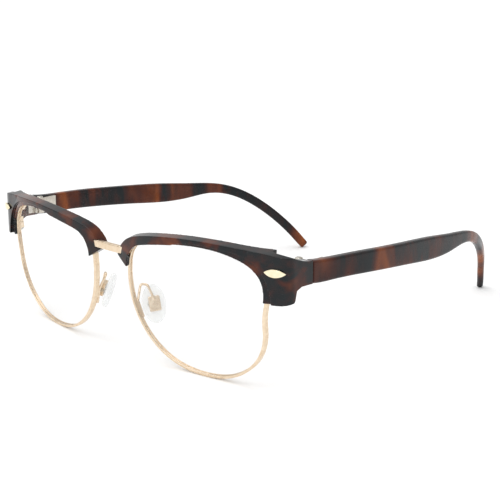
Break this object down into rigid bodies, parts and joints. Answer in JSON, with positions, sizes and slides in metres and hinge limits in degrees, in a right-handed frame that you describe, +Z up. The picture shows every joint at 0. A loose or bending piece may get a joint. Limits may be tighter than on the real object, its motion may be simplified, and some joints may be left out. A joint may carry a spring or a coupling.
{
  "type": "half rim eyeglasses",
  "caption": "Browline reading glasses with metal eyewires, plastic brows, bifocal lenses, folding plastic temples and adjustable nose pads.",
  "frame": {"origin": "on the floor, below the middle of the open frame's box", "axes": "+X to the wearer's left, +Y from the front back along the temples, +Z up; the frame stands on its eyewires and temple tips"},
  "size_m": [0.137, 0.1488, 0.0441],
  "materials": {
    "gold_wire": "satin",
    "clear_lens": "polished",
    "steel_screw": "satin",
    "tortoiseshell_brow": "gloss",
    "tortoiseshell_temple": "satin",
    "polished_stud": "polished",
    "hinge_metal": "satin",
    "pad_silicone": "soft gloss"
  },
  "bodies": {
    "front": {"bridge": "gold_wire", "eyewire_left": "gold_wire", "eyewire_right": "gold_wire", "lens_left": "clear_lens", "lens_right": "clear_lens", "closing_block_left": "gold_wire", "closing_block_right": "gold_wire", "rim_lock_screw_left": "steel_screw", "rim_lock_screw_right": "steel_screw", "brow_left": "tortoiseshell_brow", "brow_right": "tortoiseshell_brow", "brow_screws_left": "steel_screw", "brow_screws_right": "steel_screw", "stud_left": "polished_stud", "stud_right": "polished_stud", "front_hinge_left": "hinge_metal", "front_hinge_right": "hinge_metal", "hinge_screw_left": "steel_screw", "hinge_screw_right": "steel_screw", "pad_arm_left": "gold_wire", "pad_arm_right": "gold_wire", "pad_screw_left": "steel_screw", "pad_screw_right": "steel_screw"},
    "temple_arm_left": {"temple_left": "tortoiseshell_temple", "temple_hinge_left": "hinge_metal"},
    "temple_arm_right": {"temple_right": "tortoiseshell_temple", "temple_hinge_right": "hinge_metal"},
    "pad_left": {"nose_pad_left": "pad_silicone"},
    "pad_right": {"nose_pad_right": "pad_silicone"}
  },
  "joints": [
    {"name": "temple_fold_left", "type": "hinge", "parent": "front", "child": "temple_arm_left", "pos_m": [0.062, -0.05379, 0.0362], "axis": [0, 0, 1], "range_deg": [0, 84]},
    {"name": "temple_fold_right", "type": "hinge", "parent": "front", "child": "temple_arm_right", "pos_m": [-0.062, -0.05379, 0.0362], "axis": [0, 0, -1], "range_deg": [0, 76]},
    {"name": "pad_rock_left", "type": "hinge", "parent": "front", "child": "pad_left", "pos_m": [0.01255, -0.06547, 0.01754], "axis": [-0.5365, -0.8359, -0.1162], "range_deg": [-6, 6]},
    {"name": "pad_rock_right", "type": "hinge", "parent": "front", "child": "pad_right", "pos_m": [-0.01255, -0.06547, 0.01754], "axis": [-0.5365, 0.8359, 0.1162], "range_deg": [-6, 6]}
  ]
}
